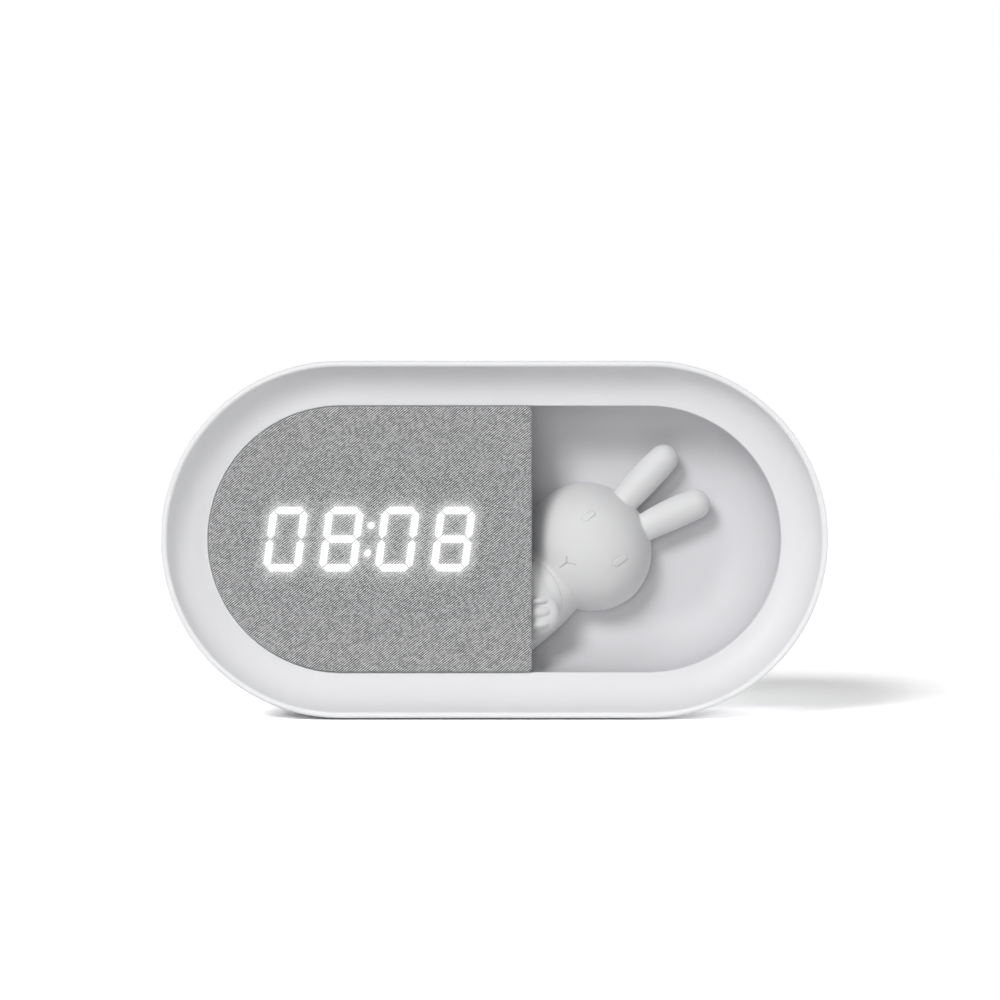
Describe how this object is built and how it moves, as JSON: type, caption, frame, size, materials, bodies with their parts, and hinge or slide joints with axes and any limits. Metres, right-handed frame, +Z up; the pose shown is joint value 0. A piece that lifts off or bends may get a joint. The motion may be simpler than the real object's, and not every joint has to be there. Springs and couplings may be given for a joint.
{
  "type": "kids alarm clock with night light",
  "caption": "Stadium-shaped bedside clock: cloth-covered display with glowing digits on the left, and a lit bowl on the right with a lying rabbit figure as night light.",
  "frame": {"origin": "on the table under the middle of the clock", "axes": "+X to the right as seen from the front, +Y to the back, +Z up"},
  "size_m": [0.17, 0.055, 0.0915],
  "materials": {
    "case_plastic": "matte",
    "panel_plastic": "matte",
    "display_cloth": "coarse twill weave",
    "light_guide": "milky",
    "reflector": "matte",
    "silicone": "soft matte",
    "clamp_plastic": "matte",
    "diffuser": "milky",
    "circuit_board": "satin",
    "led_body": "clear",
    "chip_body": "matte",
    "plunger": "satin",
    "key_plastic": "satin",
    "switch_metal": "satin",
    "tongue": "matte",
    "plug_plastic": "matte",
    "lead_jacket": "satin",
    "ribbon": "satin",
    "cell_wrap": "satin",
    "bracket_plastic": "matte",
    "speaker_metal": "satin",
    "magnet": "satin",
    "cone_paper": "matte",
    "gasket": "matte",
    "screw_steel": "satin",
    "foot_rubber": "matte"
  },
  "bodies": {
    "case": {"battery_bracket": "bracket_plastic", "battery_cell": "cell_wrap", "battery_lead": "lead_jacket", "board_chips": "chip_body", "board_screws": "screw_steel", "bracket_screws": "screw_steel", "clamp_screws": "screw_steel", "digit_light_guide": "light_guide", "display_board": "circuit_board", "display_leds": "led_body", "display_panel": "panel_plastic", "display_ribbon": "ribbon", "display_screws": "screw_steel", "fabric_cover": "display_cloth", "feet": "foot_rubber", "figure_clamp_ring": "clamp_plastic", "front_shell": "case_plastic", "lead_plugs": "plug_plastic", "light_lead": "lead_jacket", "light_tray": "case_plastic", "main_board": "circuit_board", "night_light_board": "circuit_board", "night_light_diffuser": "diffuser", "night_light_leds": "led_body", "panel_screws": "screw_steel", "rabbit_figure": "silicone", "rear_cover": "case_plastic", "rear_screws": "screw_steel", "ribbon_sockets": "plug_plastic", "segment_reflector": "reflector", "speaker_cone": "cone_paper", "speaker_frame": "speaker_metal", "speaker_gasket": "gasket", "speaker_lead": "lead_jacket", "speaker_magnet": "magnet", "speaker_screws": "screw_steel", "switch_housing": "switch_metal", "tact_switches": "chip_body", "tray_screws": "screw_steel", "usb_socket": "switch_metal", "usb_tongue": "tongue"},
    "time_button": {"time_key": "key_plastic", "time_plunger": "plunger"},
    "alarm_button": {"alarm_key": "key_plastic", "alarm_plunger": "plunger"},
    "up_button": {"up_key": "key_plastic", "up_plunger": "plunger"},
    "down_button": {"down_key": "key_plastic", "down_plunger": "plunger"},
    "alarm_slider": {"switch_knob": "key_plastic"}
  },
  "joints": [
    {"name": "time_press", "type": "slide", "parent": "case", "child": "time_button", "axis": [0, -1, 0], "range_m": [0, 0.0005], "stiffness_N_per_m": 400},
    {"name": "alarm_press", "type": "slide", "parent": "case", "child": "alarm_button", "axis": [0, -1, 0], "range_m": [0, 0.0005], "stiffness_N_per_m": 400},
    {"name": "up_press", "type": "slide", "parent": "case", "child": "up_button", "axis": [0, -1, 0], "range_m": [0, 0.0005], "stiffness_N_per_m": 400},
    {"name": "down_press", "type": "slide", "parent": "case", "child": "down_button", "axis": [0, -1, 0], "range_m": [0, 0.0005], "stiffness_N_per_m": 400},
    {"name": "alarm_slide", "type": "slide", "parent": "case", "child": "alarm_slider", "axis": [1, 0, 0], "range_m": [0, 0.003]}
  ]
}
